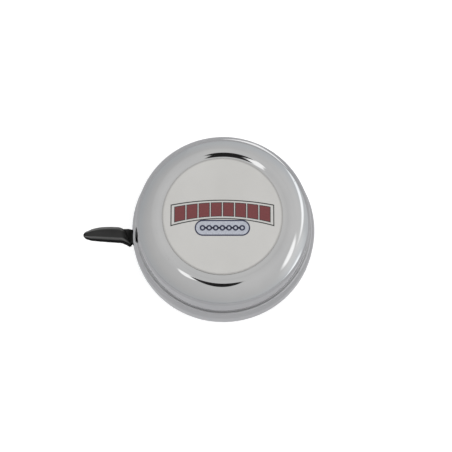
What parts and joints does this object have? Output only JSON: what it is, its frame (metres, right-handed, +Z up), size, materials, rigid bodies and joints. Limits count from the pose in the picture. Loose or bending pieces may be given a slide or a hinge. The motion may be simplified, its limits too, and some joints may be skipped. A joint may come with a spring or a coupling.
{
  "type": "bicycle bell",
  "caption": "Round chromed rotary bicycle bell with a side thumb lever, geared striker rotor and a handlebar clamp below the cup.",
  "frame": {"origin": "centre of the handlebar bore in the clamp", "axes": "+X along the handlebar, +Z up the centre post towards the dome; the thumb lever points along -X"},
  "size_m": [0.076, 0.06, 0.0542],
  "materials": {
    "chrome": "bright plated",
    "zinc_steel": "zinc plated",
    "liner_rubber": "matte",
    "badge_vinyl": "printed silver-grey film",
    "grip_plastic": "satin moulded",
    "turned_steel": "turned",
    "spring_steel": "drawn wire",
    "pressed_steel": "pressed",
    "gear_brass": "cut"
  },
  "bodies": {
    "base": {"base_cup": "chrome", "clamp_saddle": "zinc_steel", "clamp_strap": "zinc_steel", "clamp_liner": "liner_rubber", "clamp_screws": "zinc_steel", "clamp_lock_washers": "zinc_steel", "clamp_nuts": "zinc_steel", "bell_dome": "chrome", "dome_boss": "turned_steel", "crown_badge": "badge_vinyl", "centre_post": "turned_steel", "lever_pivot_pin": "turned_steel", "idler_pin": "turned_steel", "lever_clip": "spring_steel", "idler_clip": "spring_steel", "rotor_clip": "spring_steel", "spring_anchor_pin": "turned_steel", "return_spring": "spring_steel", "rotor_thrust_washer": "pressed_steel"},
    "lever": {"lever_arm": "pressed_steel", "thumb_grip": "grip_plastic"},
    "idler": {"idler_gear": "gear_brass", "idler_pinion": "gear_brass"},
    "rotor": {"rotor_pinion": "gear_brass", "striker_arm": "pressed_steel", "striker_pins": "turned_steel"},
    "striker_a": {"striker_a": "pressed_steel"},
    "striker_b": {"striker_b": "pressed_steel"}
  },
  "joints": [
    {"name": "lever_pivot", "type": "hinge", "parent": "base", "child": "lever", "pos_m": [-0.02, -0.003, 0.0224], "axis": [0, 0, -1], "range_deg": [0, 24], "stiffness_Nm_per_rad": 0.02, "springref_deg": -30, "deforming": ["return_spring"]},
    {"name": "idler_spin", "type": "hinge", "parent": "base", "child": "idler", "pos_m": [-0.01014, 0.01218, 0.0216], "axis": [0, 0, 1], "range_deg": [0, 120]},
    {"name": "rotor_spin", "type": "hinge", "parent": "base", "child": "rotor", "pos_m": [0, 0, 0.0226], "axis": [0, 0, -1], "range_deg": [0, 240]},
    {"name": "striker_a_throw", "type": "slide", "parent": "rotor", "child": "striker_a", "axis": [1, 0, 0], "range_m": [-0.001, 0.001]},
    {"name": "striker_b_throw", "type": "slide", "parent": "rotor", "child": "striker_b", "axis": [-1, 0, 0], "range_m": [-0.001, 0.001]}
  ],
  "couplings": [
    {"joint": "idler_spin", "follows": "lever_pivot", "ratio": 5},
    {"joint": "rotor_spin", "follows": "lever_pivot", "ratio": 10}
  ]
}
